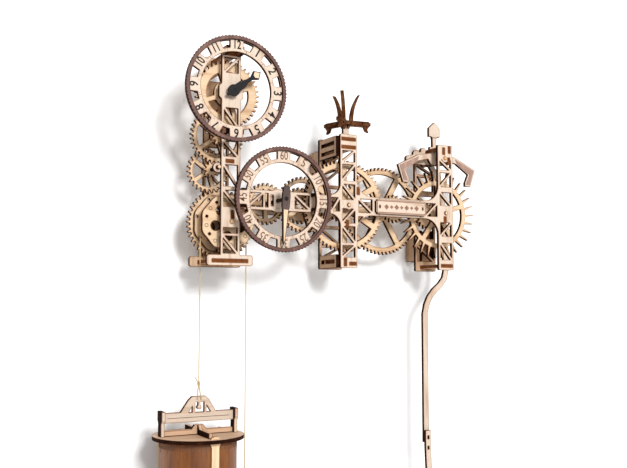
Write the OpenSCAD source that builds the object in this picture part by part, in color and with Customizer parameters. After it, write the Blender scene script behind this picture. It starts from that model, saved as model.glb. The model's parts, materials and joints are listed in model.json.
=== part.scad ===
// Wall clock from laser-cut birch plywood: three lattice towers joined by beams, two dials,
// a weight-driven wheel train, an escapement with a pendulum, and a drum with two cords.
// The front faces -Y, the wall is the plane Y = 0, and the origin is the hanging hole.

/* [Plywood] */
// Thickness of the plywood sheet
sheet = 3.7; // [3.4:0.1:3.9]
// Gap between two wheels that lie one in front of the other
wheel_gap = 1.6; // [1.4:0.1:1.8]
// Radius of the birch dowels that serve as arbors
dowel_r = 2; // [1.8:0.1:2.2]
// Radial play of an arbor in its bearing
play = 0.08; // [0.04:0.01:0.1]

/* [Cage] */
// Distance from the wall to the back plates
wall_gap = 30; // [30:1:40]
// Height of the hanging hole above the line of the wheel arbors
hook_h = 56; // [50:1:60]
// Width of a front tower plate
tower_w = 21; // [20:0.5:22]
// Height of a beam between two towers
beam_h = 21; // [19:0.5:22]
// Width of the diagonal braces in the lattice
brace_w = 2.6; // [2:0.2:3.2]

/* [Dials] */
// Outer radius of the toothed dial rims
dial_r = 55.5; // [54:0.5:56]
// Distance that a dial stands in front of the towers
dial_gap = 11; // [10:0.5:12]

/* [Motion work] */
// Module of the going-train wheels
gear_m = 1.6667; // [1.66:0.0001:1.67]
// Tip radius of the escape wheel
escape_r = 52; // [50:0.5:53]
// Radius at which the cord lies on the drum
cord_drum_r = 25.6; // [25:0.1:26]

/* [Pendulum and weights] */
// Length of the pendulum from pivot to bob centre
pendulum_l = 520; // [480:10:560]
// Radius of the bob
bob_r = 38; // [34:1:42]
// Radius of the weight canister
canister_r = 40; // [38:1:41]
// Height of the weight canister
canister_h = 150; // [120:5:180]
// Diameter of the cords
cord_d = 1.4; // [1.2:0.1:1.8]

/* [Hidden] */
$fn = 48;

// Depths. Wheels lie in numbered planes: plane 0 is nearest the wall, plane 6 the front plates.
planes = 7;
back_y = -wall_gap;
plane_step = sheet + wheel_gap;
cage_d = planes * plane_step + wheel_gap;
front_y = back_y - sheet - cage_d;
face_y = front_y - sheet;
dial_y = face_y - dial_gap;
function plane_y(k) = back_y - sheet - wheel_gap - k * plane_step;

// Ends of the name plate
name_x0 = 33;
name_x1 = 100;

// Tower centre lines, left to right, and the levels of the tower plates
hour_x = -139.5;
middle_x = 0;
bay = (60 + 18) * gear_m / 2;
tower_foot = -69.5;
middle_top = 79;
right_top = 77.5;
hour_top = 157;
hour_shelf_z = 149.4;
shelf_z = -66.4;
back_w = tower_w + 8;

// Arbors: minute hand, link, centre, third and escape wheels in a row, and the hour side
link_x = -(36 + 18) * gear_m / 2;
minute_x = link_x - (26 + 23) * gear_m / 2;
escape_z = -3;
escape_x = bay + sqrt(bay * bay - escape_z * escape_z);
right_x = escape_x;
pallet_z = 62;
right_shelf_z = 71.9;
great_x = -138;
great_d = (43 + 26) * gear_m / 2;
great_z = -sqrt(great_d * great_d - (minute_x - great_x) * (minute_x - great_x));
idler_x = -152.5;
idler_z = great_z + sqrt(great_d * great_d - (great_x - idler_x) * (great_x - idler_x));
hour_z = 111;
hour_run = norm([hour_x - idler_x, hour_z - idler_z]);
slow_m = 72 / 46 * hour_run / 80.7;
transfer_t = (46 * slow_m / 2) / hour_run;
transfer_x = idler_x + (hour_x - idler_x) * transfer_t;
transfer_z = idler_z + (hour_z - idler_z) * transfer_t;
slow_rest = hour_run * (1 - transfer_t);
slow_m3 = 2 * slow_rest / 52;

// Tooth phases, each in degrees, so that every pair is in mesh at rest
function mesh(phi, a1, n1, n2) = phi + 180 - (0.5 - (phi - a1) * n1 / 360) * 360 / n2;
third_a = 3;
centre_a = 0;
link_a = 5;
minute_a = mesh(180, 0, 23, 26);
great_phi = atan2(great_z, great_x - minute_x);
great_a = mesh(great_phi, minute_a, 26, 43);
idler_phi = atan2(idler_z - great_z, idler_x - great_x);
idler_a = mesh(idler_phi, great_a, 43, 26);
slow_phi = atan2(hour_z - idler_z, hour_x - idler_x);
escape_phi = atan2(escape_z, escape_x - bay);

// Weight and cords
drum_y = plane_y(3);
weight_x = great_x - cord_drum_r;
counter_x = great_x + cord_drum_r;
bail_top = -202;
lid_z = -240.5;
lid_r = 46.5;
counter_z = -306;

// Sheet lying in a wall-parallel plane, its back face at depth y
module panel(y, t = sheet) { translate([0, y, 0]) rotate([90, 0, 0]) linear_extrude(t) children(); }
// Sheet standing across the cage, its left face at x
module web(x, t = sheet) { translate([x, 0, 0]) rotate([90, 0, 90]) linear_extrude(t) children(); }
// Round bar along Y between two depths
module bar(x, z, y0, y1, r) {
    translate([x, max(y0, y1), z]) rotate([90, 0, 0]) cylinder(h = abs(y1 - y0), r = r);
}
// Level shift that puts the origin in the hanging hole
module hung() { translate([0, 0, -hook_h]) children(); }
module ply() { color([0.89, 0.76, 0.58]) hung() children(); }
module burnt() { color([0.42, 0.27, 0.17]) hung() children(); }

module rect(x0, z0, x1, z1) { translate([x0, z0]) square([x1 - x0, z1 - z0]); }
module rounded(x0, z0, x1, z1, r) {
    hull() for (x = [x0 + r, x1 - r], z = [z0 + r, z1 - r]) translate([x, z]) circle(r = r, $fn = 24);
}

// Window with one diagonal brace; lean is 1 for "/" and -1 for "\", 0 for an open window
module cell(x0, z0, x1, z1, lean) {
    w = x1 - x0;
    h = z1 - z0;
    difference() {
        rect(x0, z0, x1, z1);
        if (lean != 0) translate([(x0 + x1) / 2, (z0 + z1) / 2])
            rotate(lean * atan2(h, w)) square([2 * norm([w, h]), brace_w], center = true);
    }
}

// Column of braced windows about x, each cell [foot, head, lean]
module column(x, w, cells) {
    for (c = cells) cell(x - w / 2 + brace_w, c[0], x + w / 2 - brace_w, c[1], c[2]);
}

// Involute-like gear outline with straight flanks
function gear_pts(n, m, a) = [for (i = [0:n - 1], k = [0:3])
    let (pitch_r = n * m / 2,
        r = (k == 1 || k == 2) ? pitch_r + 0.85 * m : pitch_r - 1.15 * m,
        half = (k == 1 || k == 2) ? 0.4 * m : 0.92 * m,
        t = a + i * 360 / n + (k < 2 ? -1 : 1) * half / r * 57.3)
    r * [cos(t), sin(t)]];

module spokes(r_in, hub_r, count, w, a) {
    difference() {
        circle(r = r_in);
        circle(r = hub_r);
        for (i = [0:count - 1]) rotate(a + i * 360 / count) translate([0, -w / 2]) square([r_in + 1, w]);
    }
}

// Spoked wheel: teeth, module, phase, rim inner radius, hub radius, spokes, spoke width
module wheel(x, z, k, n, m, a, rim_r, hub_r, count, w, turn = 0, bore = dowel_r) {
    panel(plane_y(k)) translate([x, z]) difference() {
        polygon(gear_pts(n, m, a));
        spokes(rim_r, hub_r, count, w, turn);
        circle(r = bore);
    }
}

module small_gear(x, z, k, n, m, a, bore = dowel_r) {
    panel(plane_y(k)) translate([x, z]) difference() {
        polygon(gear_pts(n, m, a));
        circle(r = bore);
    }
}

arbor_back = back_y + 2;
arbor_front = face_y - 1.5;
bearing_r = dowel_r + play;

// ---- hour tower -------------------------------------------------------------------------
hour_bores = [[great_x, great_z], [idler_x, idler_z], [transfer_x, transfer_z], [hour_x, hour_z]];

module hour_outline(w, foot_w) {
    rect(hour_x - w / 2, tower_foot, hour_x + w / 2, hour_top);
    rounded(hour_x - foot_w / 2, tower_foot, hour_x + foot_w / 2, tower_foot + 11, 2.6);
    translate([hour_x, hour_z]) rotate(22.5) circle(r = 14.5, $fn = 8);
}

hour_cells = [[-57, -39, -1], [-36.5, -30.5, 0], [-9, 8, -1], [12, 34.5, -1], [43, 59, -1],
    [74, 94, -1], [131, 147, 1]];

// Key and tenon that show in the front plate, each [left, foot, width, height]
hour_keys = [[hour_x + 0.4, -21.2, sheet, 8.5], [hour_x - 5.6, 36.4, 9.3, sheet]];

module hour_plate(y, w, foot_w, keys) {
    panel(y) difference() {
        hour_outline(w, foot_w);
        difference() {
            column(hour_x, w, hour_cells);
            for (b = hour_bores) translate(b) circle(r = 5);
        }
        for (b = hour_bores) translate(b) circle(r = bearing_r);
        rect(hour_x - 19.8, shelf_z, hour_x + 19.8, shelf_z + sheet);
        rect(hour_x - 7, hour_shelf_z, hour_x + 7, hour_shelf_z + sheet);
        for (k = keys) rect(k[0], k[1], k[0] + k[2], k[1] + k[3]);
    }
}
// Bearing of the idler arbor, on the inner face of a plate
module idler_bearing(y) {
    panel(y) difference() {
        hull() {
            translate([idler_x, idler_z]) circle(r = 5);
            translate([idler_x + 6, idler_z]) circle(r = 5);
        }
        translate([idler_x, idler_z]) circle(r = bearing_r);
    }
}

module hour_tower_front() {
    ply() {
        hour_plate(front_y, tower_w, 50.5, hour_keys);
        idler_bearing(front_y + sheet);
    }
}
module hour_tower_back() { ply() hour_plate(back_y, back_w, 58, []); }
module hour_tower_shelves() {
    burnt() {
        translate([hour_x - 19.7, face_y, shelf_z + 0.05]) cube([39.4, back_y - face_y, sheet - 0.1]);
        translate([hour_x - 6.95, face_y, hour_shelf_z + 0.05]) cube([13.9, back_y - face_y, sheet - 0.1]);
        for (k = hour_keys)
            translate([k[0] + 0.05, face_y, k[1] + 0.05]) cube([k[2] - 0.1, sheet + 1.5, k[3] - 0.1]);
    }
}

// ---- middle tower -----------------------------------------------------------------------
middle_cells = [[48, 60.5, 1], [27, 45, 1], [6, 23, -1], [-20, -4, 1], [-41.5, -23.5, -1],
    [-57.5, -44.5, 1]];

// Concave corner between a beam and a tower, of radius r, opening towards (sx, sz)
module corner(x, z, r, sx, sz) {
    difference() {
        translate([sx > 0 ? x - 0.5 : x - r, sz > 0 ? z - 0.5 : z - r]) square(r + 0.5);
        translate([x + sx * r, z + sz * r]) circle(r = r);
    }
}

module middle_outline(w, arms) {
    rounded(middle_x - w / 2, tower_foot, middle_x + w / 2, middle_top, 1.6);
    if (arms) {
        rect(-24, -beam_h / 2, name_x0 + 6, beam_h / 2);
        for (sx = [-1, 1], sz = [-1, 1]) corner(sx * w / 2, sz * beam_h / 2, sx > 0 ? 19 : 13, sx, sz);
    }
}

// Upright keys that come through the front plates, and hold the bearing blocks behind them
key_h = 8.5;
middle_keys = [[tower_w / 2 - 0.4, 12], [-3.9, -25]];
right_keys = [[right_x + 3.3, 54.5], [right_x - 2.9, -15.4], [right_x - 3.8, 66], [right_x + 4.2, 68]];
module key(k, h = key_h) {
    translate([k[0] + 0.05, face_y, k[1] + 0.05]) cube([sheet - 0.1, 2 * sheet - 1, h - 0.1]);
}

module middle_plate(y, w, arms) {
    panel(y) difference() {
        middle_outline(w, arms);
        difference() {
            column(middle_x, w, middle_cells);
            circle(r = 5);
        }
        if (arms) {
            cell(w / 2 + 2, -7.6, 30, 7.6, -1);
            cell(-21.5, -7.6, -w / 2 - 1, 7.6, 1);
            polygon([[w / 2 + 1.5, -12], [w / 2 + 8, -12], [w / 2 + 1.5, -19]]);
        }
        circle(r = bearing_r);
        for (z = [62.6, 71.6]) rect(-9, z, 9, z + sheet);
        rect(0.4, shelf_z, 9.4, shelf_z + sheet);
        rect(-6.4, shelf_z - 1, -6.4 + sheet, shelf_z + 8);
        if (arms) for (k = middle_keys) rect(k[0], k[1], k[0] + sheet, k[1] + key_h);
    }
}

module middle_tower_front() { ply() middle_plate(front_y, tower_w, true); }
module middle_tower_back() { ply() middle_plate(back_y, back_w, false); }
module middle_tower_shelves() {
    burnt() {
        for (z = [62.65, 71.65]) translate([-8.95, face_y, z]) cube([17.9, back_y - face_y, sheet - 0.1]);
        translate([0.45, face_y, shelf_z + 0.05]) cube([8.9, back_y - face_y, sheet - 0.1]);
        translate([-6.35, face_y, shelf_z - 0.95]) cube([sheet - 0.1, back_y - face_y, 8.9]);
        for (k = middle_keys) key(k);
    }
}

// Side boards that close the cage above and below the centre wheel
module side_board(x, z0, z1, slots) {
    web(x, sheet) difference() {
        rect(front_y, z0, back_y - sheet, z1);
        for (z = slots) rect(front_y + 4, z, back_y - sheet - 4, z + 4);
    }
}
module middle_tower_webs() {
    burnt() {
        side_board(-tower_w / 2 - 3.6, 54.5, 77, [58, 67.6]);
        side_board(-tower_w / 2 - 3.6, -69, -54.5, [-64]);
    }
}

// ---- right tower ------------------------------------------------------------------------
right_cells = [[48, 60, -1], [28, 44.5, 1], [6, 21.5, -1], [-30, -14, 1], [-57.5, -38, -1]];

module right_plate(y, w, arms) {
    panel(y) difference() {
        union() {
            rounded(right_x - w / 2, tower_foot, right_x + w / 2, right_top, 1.6);
            if (arms) {
                rect(name_x1 - 6, -beam_h / 2, right_x, beam_h / 2);
                for (s = [-1, 1]) corner(right_x - w / 2, s * beam_h / 2, 18, -1, s);
            }
        }
        difference() {
            column(right_x, w, right_cells);
            translate([right_x, pallet_z]) circle(r = 5);
        }
        if (arms) cell(102, -7.6, right_x - w / 2 - 1.5, 7.6, 1);
        translate([escape_x, escape_z]) circle(r = bearing_r);
        translate([right_x, pallet_z]) circle(r = bearing_r);
        rect(right_x - 7.6, shelf_z, right_x + 9, shelf_z + sheet);
        if (!arms) rect(right_x - 7, right_shelf_z, right_x + 7, right_shelf_z + sheet);
        if (arms) for (k = right_keys) rect(k[0], k[1], k[0] + sheet, k[1] + key_h);
    }
}

module right_tower_front() { ply() right_plate(front_y, tower_w, true); }
module right_tower_back() { ply() right_plate(back_y, back_w, false); }
module right_tower_shelves() {
    burnt() {
        translate([right_x - 7.55, face_y, shelf_z + 0.05]) cube([16.5, back_y - face_y, sheet - 0.1]);
        translate([right_x - 6.95, front_y, right_shelf_z + 0.05]) cube([13.9, back_y - front_y, sheet - 0.1]);
        for (k = right_keys) key(k);
    }
}

// ---- beams ------------------------------------------------------------------------------
module beam_holes(xs) { for (x = xs) translate([x, 0]) circle(r = bearing_r); }

module minute_beam_2d(x0, x1, hub_r) {
    difference() {
        union() {
            rect(x0, -beam_h / 2, x1, beam_h / 2);
            translate([minute_x, 0]) circle(r = hub_r);
        }
        difference() {
            union() {
                cell(-120, -7.4, -103, 7.4, 1);
                rect(-100.5, -7.4, -97, 7.4);
                rect(-94, -6, minute_x - 5, 6);
                cell(-66, -7.4, -48.5, 7.4, -1);
            }
            translate([minute_x, 0]) circle(r = 5);
        }
        beam_holes([minute_x]);
    }
}
module minute_beam() { ply() panel(front_y) minute_beam_2d(hour_x + tower_w / 2, -24, 12.5); }
module minute_beam_back() {
    ply() panel(back_y) difference() {
        minute_beam_2d(hour_x + back_w / 2, -back_w / 2, 12.5);
        beam_holes([link_x]);
    }
}

module name_beam() {
    ply() panel(front_y) difference() {
        rect(name_x0 + 6, -beam_h / 2, name_x1 - 6, beam_h / 2);
        beam_holes([bay]);
    }
}
module name_beam_back() {
    ply() panel(back_y) difference() {
        rect(back_w / 2, -beam_h / 2, right_x - back_w / 2, beam_h / 2);
        cell(back_w / 2 + 3, -7.6, 52, 7.6, 1);
        cell(78, -7.6, right_x - back_w / 2 - 3, 7.6, -1);
        beam_holes([bay]);
    }
}

// Blank plate over the joint of the front beam, with two slots for its keys
module name_plate() {
    color([0.86, 0.77, 0.68]) hung() panel(face_y) difference() {
        union() {
            rect(name_x0, -6.4, name_x1, 6.4);
            rect(name_x0 + 1.6, -8, name_x1 - 1.6, 8);
        }
        for (x = [name_x0 + 4, name_x1 - 5.6]) rect(x, -1.6, x + 1.6, 1.6);
    }
}

// Bridge that carries the front end of the link arbor behind the centre wheel
module link_bridge() {
    ply() {
        panel(plane_y(4)) difference() {
            hull() for (x = [link_x, -71]) translate([x, 0]) circle(r = 6.5);
            beam_holes([link_x]);
        }
        for (x = [-60, -71]) bar(x, 0, plane_y(4) - sheet, front_y, 2.5);
    }
}

// ---- dials ------------------------------------------------------------------------------
rim_in = dial_r - 4.6;
ring_out = 42.6;
ring_in = 38.6;
tab_w = 14.6;

module dial_face_2d() {
    difference() {
        union() {
            difference() {
                circle(r = rim_in + 3.4);
                circle(r = rim_in - 0.6);
            }
            difference() {
                circle(r = ring_out);
                circle(r = ring_in);
            }
            for (i = [0:11]) rotate(i * 30) translate([(ring_in + rim_in) / 2 + 0.6, 0])
                square([rim_in - ring_in + 0.8, tab_w], center = true);
        }
        circle(r = ring_in);
    }
}
scallop = 1.1;
function rim_pts(n) = [for (i = [0:2 * n - 1])
    let (t = i * 180 / n) (dial_r - (i % 2) * scallop) * [cos(t), sin(t)]];
module dial_rim_2d() {
    difference() {
        polygon(rim_pts(90));
        circle(r = rim_in);
    }
}

module dial_face(x, z) { ply() panel(dial_y) translate([x, z]) dial_face_2d(); }
module dial_rim(x, z) {
    color([0.36, 0.25, 0.22]) hung() panel(dial_y - sheet, 2.6) translate([x, z]) dial_rim_2d();
}
module hour_dial_face() { dial_face(hour_x, hour_z); }
module hour_dial_rim() { dial_rim(hour_x, hour_z); }
module minute_dial_face() { dial_face(minute_x, 0); }
module minute_dial_rim() { dial_rim(minute_x, 0); }

// Small blocks that carry a dial in front of the towers
module hour_dial_brackets() {
    ply() for (s = [-1, 1], x = [-1, 1])
        translate([hour_x + x * 8 - sheet / 2, dial_y, hour_z + s * 41.8 - 3.9]) cube([sheet, dial_gap, 7.8]);
}
module minute_dial_brackets() {
    ply() for (s = [-1, 1], z = [-1, 1])
        translate([minute_x + s * 42 - 3, dial_y, z * 8 - sheet / 2]) cube([6, dial_gap, sheet]);
}

// ---- wall brackets ----------------------------------------------------------------------
// Box of two cheeks and a rear plate; the rear plate lies on the wall
bracket_w = 18;
module bracket(x, z0, z1, hole_z, hole_r) {
    burnt() difference() {
        translate([x - bracket_w / 2, back_y, z0]) cube([bracket_w, -back_y, z1 - z0]);
        translate([x - bracket_w / 2 + sheet, back_y - 1, z0 - 1])
            cube([bracket_w - 2 * sheet, -back_y + 1 - sheet, z1 - z0 + 2]);
        bar(x, hole_z, 1, -sheet - 1, hole_r);
    }
}
module wall_bracket_left() { bracket(great_x, -68, -44, -56, 2.5); }
module wall_bracket_middle() { bracket(0, hook_h - 12, hook_h + 12, hook_h, 2.5); }
module wall_bracket_right() { bracket(right_x + 3, -57, -20, -46, 2.5); }

// ---- ornaments --------------------------------------------------------------------------
module finial() {
    ply() panel(plane_y(3)) translate([right_x, 0]) {
        rect(-2.8, right_shelf_z + sheet - 0.05, 2.8, 90);
        rect(-7, right_shelf_z + sheet - 0.05, 7, 78.6);
        polygon([[-2.8, 88], [-3.8, 91], [-7.9, 91], [-7.9, 101.5], [0, 108.5], [7.9, 101.5], [7.9, 91],
            [3.8, 91], [2.8, 88]]);
    }
}

rotor_y = face_y + 8;
module rotor_post() {
    ply() translate([0, rotor_y, 0]) {
        translate([-3.5, -sheet / 2, middle_top - 3.7]) cube([7, sheet, 10.7]);
        translate([0, 0, middle_top + 6.9]) cylinder(h = 12, r = 1.6);
    }
}

// Fin of the rotor, standing on edge: arm, end block with a hook below, and a curved horn
horn_h = 30;
function horn_edge(r0, lean, n = 6) = [for (t = [0:n]) [r0 + lean * (t / n) * (t / n), 8 + horn_h * t / n]];
function flip(v) = [for (i = [len(v) - 1:-1:0]) v[i]];
fins = [-6, 109, 229];
module fin_2d() {
    polygon(concat([[2.4, -1], [5, -1], [5, 1.6], [22, 1.6], [24, -3], [28, -4.5], [26.4, -1], [28.6, 2],
        [28.6, 8], [9.4, 8]], horn_edge(9.2, 8.4), flip(horn_edge(5.2, 10.6)), [[2.4, 8]]));
}
module rotor() {
    color([0.66, 0.46, 0.29]) hung() translate([0, rotor_y, middle_top + 9]) difference() {
        union() {
            for (a = fins) rotate([90, 0, a]) translate([0, 0, -sheet / 2]) linear_extrude(sheet) fin_2d();
            translate([0, 0, 3]) linear_extrude(sheet) {
                circle(r = 7.5);
                for (a = fins) rotate(a) {
                    translate([0, -3]) square([30, 6]);
                    translate([20, -4.4]) square([7, 8.8]);
                }
            }
        }
        translate([0, 0, -5]) cylinder(h = 20, r = 1.6 + play);
    }
}

// ---- going train ------------------------------------------------------------------------
module great_wheel() {
    ply() wheel(great_x, great_z, 1, 43, gear_m, great_a, 30, 12, 5, 7);
}
module great_arbor() { burnt() bar(great_x, great_z, arbor_back, arbor_front, dowel_r); }

drum_back = plane_y(2);
drum_front = plane_y(5);
// Waved flange with five round windows and, at marks_r, eight square holes
flange_wave = 0.7;
module drum_flange(y, r, marks_r) {
    panel(y) translate([great_x, great_z]) difference() {
        polygon([for (t = [0:3:357]) (r + flange_wave * cos(9 * t)) * [cos(t), sin(t)]]);
        circle(r = bearing_r);
        for (i = [0:4]) rotate(i * 72 - 20) translate([14.3, 0]) circle(r = 5.2);
        for (i = [0:7]) rotate(32 + i * 45) translate([marks_r, 0]) square(2.6, center = true);
    }
}
module drum_flanges() {
    ply() {
        drum_flange(drum_back, 31.3, 29);
        drum_flange(drum_front, 28.6, 23.8);
    }
}
module drum_core() {
    burnt() difference() {
        bar(great_x, great_z, drum_back - sheet, drum_front, cord_drum_r - cord_d / 2);
        bar(great_x, great_z, drum_back, drum_front - 1, cord_drum_r - cord_d / 2 - 3);
    }
}

module idler_wheel() { ply() wheel(idler_x, idler_z, 1, 26, gear_m, idler_a, 17, 6.5, 5, 4.5); }
module idler_pinion() {
    ply() {
        small_gear(idler_x, idler_z, 3, 10, slow_m, 0);
        bar(idler_x, idler_z, arbor_back, arbor_front, dowel_r);
    }
}
module transfer_wheel() {
    ply() wheel(transfer_x, transfer_z, 3, 36, slow_m, mesh(slow_phi, 0, 10, 36), 22.5, 8, 5, 4.5);
}
module transfer_pinion() {
    ply() {
        small_gear(transfer_x, transfer_z, 5, 12, slow_m3, 0);
        bar(transfer_x, transfer_z, arbor_back, face_y + 0.2, dowel_r);
    }
}
module hour_wheel() {
    ply() wheel(hour_x, hour_z, 5, 40, slow_m3, mesh(slow_phi, 0, 12, 40), 23.5, 15, 4, 5, 20);
}
// The hour hand turns inside its dial ring, the minute hand in front of its own
hand_t = 2.6;
hour_hand_y = face_y - 5.3;
hand_y = dial_y - sheet - 3.6;
module hour_arbor() { burnt() bar(hour_x, hour_z, arbor_back, hour_hand_y - hand_t + 0.5, dowel_r); }

// Hour hand along +X: a round hub, a collar, a narrow shaft and a kite at the tip
module hour_hand_2d() {
    difference() {
        union() {
            circle(r = 6.2);
            translate([2, -4.4]) square([10, 8.8]);
            translate([-8.4, -1.6]) square([4, 3.2]);
            polygon([[11, -3.4], [16.5, -3], [17.5, -2.1], [25, -2], [30.8, -5.3], [37.2, 0], [30.8, 5.3],
                [25, 2], [17.5, 2.1], [16.5, 3], [11, 3.4]]);
        }
        circle(r = dowel_r);
    }
}
// Minute hand along +X: a long hub with a tail, and a tapering blade
module minute_hand_2d() {
    difference() {
        polygon([[-14, -1.6], [-12, -3.4], [-4, -4.6], [8, -4.4], [11, -3.6], [44, -1.3], [48, 0], [44, 1.3],
            [11, 3.6], [8, 4.4], [-4, 4.6], [-12, 3.4], [-14, 1.6]]);
        circle(r = dowel_r);
    }
}
module hour_hand() {
    color([0.1, 0.07, 0.06]) hung() panel(hour_hand_y, hand_t)
        translate([hour_x, hour_z]) rotate(37) hour_hand_2d();
}

module minute_wheel() { ply() wheel(minute_x, 0, 1, 26, gear_m, minute_a, 16.5, 7, 4, 5); }
module minute_arbor() { burnt() bar(minute_x, 0, arbor_back, hand_y - 3, dowel_r); }
module minute_hand() {
    color([0.3, 0.25, 0.23]) hung() panel(hand_y, hand_t)
        translate([minute_x, 0]) rotate(-93.4) minute_hand_2d();
}

module link_gear() { ply() small_gear(link_x, 0, 1, 23, gear_m, 0); }
module link_wheel() {
    ply() {
        wheel(link_x, 0, 3, 36, gear_m, link_a, 24.5, 9, 5, 6);
        bar(link_x, 0, arbor_back, plane_y(4) - sheet - 0.8, dowel_r);
    }
}
module centre_pinion() {
    ply() {
        small_gear(0, 0, 3, 18, gear_m, mesh(0, link_a, 36, 18));
        bar(0, 0, arbor_back, arbor_front, dowel_r);
    }
}
module centre_wheel() { ply() wheel(0, 0, 5, 60, gear_m, centre_a, 42.5, 11, 6, 7, 30); }
module third_pinion() {
    ply() {
        small_gear(bay, 0, 5, 18, gear_m, mesh(0, centre_a, 60, 18));
        bar(bay, 0, arbor_back, face_y, dowel_r);
    }
}
module third_wheel() { ply() wheel(bay, 0, 0, 60, gear_m, third_a, 43, 12, 6, 7, 0); }

module escape_pinion() {
    ply() {
        small_gear(escape_x, escape_z, 0, 18, gear_m, mesh(escape_phi, third_a, 60, 18));
        bar(escape_x, escape_z, arbor_back, arbor_front, dowel_r);
    }
}
// Escape wheel: long pointed teeth that lean forward
escape_teeth = 30;
function escape_pts() = [for (i = [0:escape_teeth - 1], k = [0:3])
    let (r = [40, escape_r, escape_r, 40][k], t = i * 12 + [-2.2, 1.2, 2.2, 2.2][k])
    r * [cos(t), sin(t)]];
module escape_wheel() {
    ply() panel(plane_y(4)) translate([escape_x, escape_z]) difference() {
        polygon(escape_pts());
        spokes(34.5, 10, 5, 6, 18);
        circle(r = dowel_r);
    }
}

// ---- escapement and pendulum ------------------------------------------------------------
// Half of the anchor, from the pivot to the right pallet
anchor_half = [[-0.5, 9.2], [26.4, 5.2], [55.4, -8.6], [48.4, -29], [40.4, -29], [40.4, -24.6],
    [45, -14.4], [27.4, -2.8], [13, 0.6], [8.5, -6], [-0.5, -7]];
// Lobes of the carrier plate behind the left arm, each [x, z, radius] from the pivot
lobes = [[-33.5, 1.2, 4], [-22.8, 7.8, 4.2], [-12.6, 12.2, 3.6]];
module anchor() {
    ply() {
        panel(plane_y(4)) translate([right_x, pallet_z]) difference() {
            union() {
                polygon(anchor_half);
                mirror([1, 0]) polygon(anchor_half);
            }
            circle(r = dowel_r);
        }
        panel(plane_y(2)) translate([right_x, pallet_z]) difference() {
            union() {
                polygon([[0, -5], [-36, -5], [-38.5, -2], [-33, 4], [-22, 9], [-12, 12], [-6, 5.5], [0, 6]]);
                circle(r = 6);
                for (l = lobes) translate([l[0], l[1]]) circle(r = l[2]);
            }
            circle(r = dowel_r);
        }
    }
}
module pallet_arbor() { burnt() bar(right_x, pallet_z, arbor_back, arbor_front, dowel_r); }

// Centre line of the rod, which passes to the right of the escape arbor
rod_w = 7;
// The bob hangs this far along, so that the pendulum's centre of mass is under its pivot
bob_x = 129.35;
rod_x = 121.5;
rod_pts = [[right_x, pallet_z], [143, 40], [149, 10], [151.5, -30], [152.5, -68], [150, -78], [143.5, -86],
    [135, -93], [128.5, -100.5], [124, -109.5], [rod_x, -120], [rod_x, -270]];
// Strip of the rod's width along straight points, mitred at each of them
function unit(v) = v / norm(v);
function way(pts, i) = unit(pts[min(i + 1, len(pts) - 1)] - pts[max(i - 1, 0)]);
function rod_edge(pts, side) = [for (i = [0:len(pts) - 1])
    let (w = way(pts, i)) pts[i] + side * rod_w / 2 * [-w[1], w[0]]];
module rod_run(pts) { polygon(concat(rod_edge(pts, 1), flip(rod_edge(pts, -1)))); }
module pendulum_rod() {
    ply() {
        panel(plane_y(1)) difference() {
            union() {
                rod_run(rod_pts);
                translate([right_x, pallet_z]) circle(r = 6);
            }
            translate([right_x, pallet_z]) circle(r = dowel_r);
        }
        panel(plane_y(1) - sheet) difference() {
            rod_run([[rod_x, -256], [rod_x, -276], [bob_x, pallet_z - pendulum_l]]);
            for (z = [-264, -276]) rect(rod_x - 1.2, z - 2, rod_x + 1.2, z + 2);
        }
    }
}
module pendulum_bob() {
    ply() translate([bob_x, 0, pallet_z - pendulum_l]) {
        panel(plane_y(1), sheet) difference() {
            circle(r = bob_r, $fn = 96);
            spokes(bob_r - 7, 13, 6, 6, 0);
        }
        panel(plane_y(1) - 2 * sheet, sheet) difference() {
            circle(r = bob_r, $fn = 96);
            spokes(bob_r - 7, 13, 6, 6, 0);
        }
    }
}

// ---- weight -----------------------------------------------------------------------------
weight_y = drum_y - sheet / 2;
bar_top = -217.5;
bar_low = -227.5;
post_x = 37;
cap_rib = post_x - 0.5;
module weight_bail() {
    ply() translate([weight_x, 0, 0]) {
        panel(weight_y + sheet / 2) difference() {
            union() {
                polygon([[-19.5, bar_top], [-11.5, bail_top - 3.8], [-7.5, bail_top], [7, bail_top],
                    [11, bail_top - 3.8], [18, bar_top]]);
                rect(-post_x, bar_low, post_x, bar_top);
            }
            difference() {
                rect(-4, bar_top - 0.5, 5.6, bar_top + 9.5);
                translate([0.2, bar_top + 4.4]) circle(r = 2.4);
                rect(-1, bar_top + 5, 1.4, bar_top + 11);
            }
            polygon([[-7, bar_top - 0.5], [-7, bar_top + 6], [-11, bar_top - 0.5]]);
            polygon([[8, bar_top - 0.5], [8, bar_top + 6.5], [12.5, bar_top - 0.5]]);
        }
        for (s = [-1, 1]) web(s * (post_x + sheet / 2) - sheet / 2) polygon([
            [weight_y - 5, lid_z], [weight_y - 5, bar_low], [weight_y - 7.5, bar_low + 3],
            [weight_y - 7.5, bar_top + 2], [weight_y + 7.5, bar_top + 2], [weight_y + 7.5, bar_low + 3],
            [weight_y + 5, bar_low], [weight_y + 5, lid_z]]);
    }
}
module weight_cap() {
    burnt() translate([weight_x, weight_y, 0]) {
        translate([0, 0, lid_z - sheet]) cylinder(h = sheet, r = lid_r, $fn = 96);
        for (a = [0, 90]) rotate(a) rotate([90, 0, 0]) translate([0, 0, -sheet / 2]) linear_extrude(sheet)
            polygon([[-cap_rib, lid_z], [-cap_rib, lid_z + 5.5], [-8, lid_z + 5.5], [-4.5, lid_z + 10],
                [4.5, lid_z + 10], [8, lid_z + 5.5], [cap_rib, lid_z + 5.5], [cap_rib, lid_z]]);
    }
}
module weight_canister() {
    color([0.6, 0.38, 0.2]) hung() translate([weight_x, weight_y, lid_z - sheet - canister_h]) {
        cylinder(h = canister_h, r = canister_r, $fn = 96);
        translate([0, 0, -sheet]) cylinder(h = sheet, r = canister_r + 1, $fn = 96);
    }
}

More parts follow.
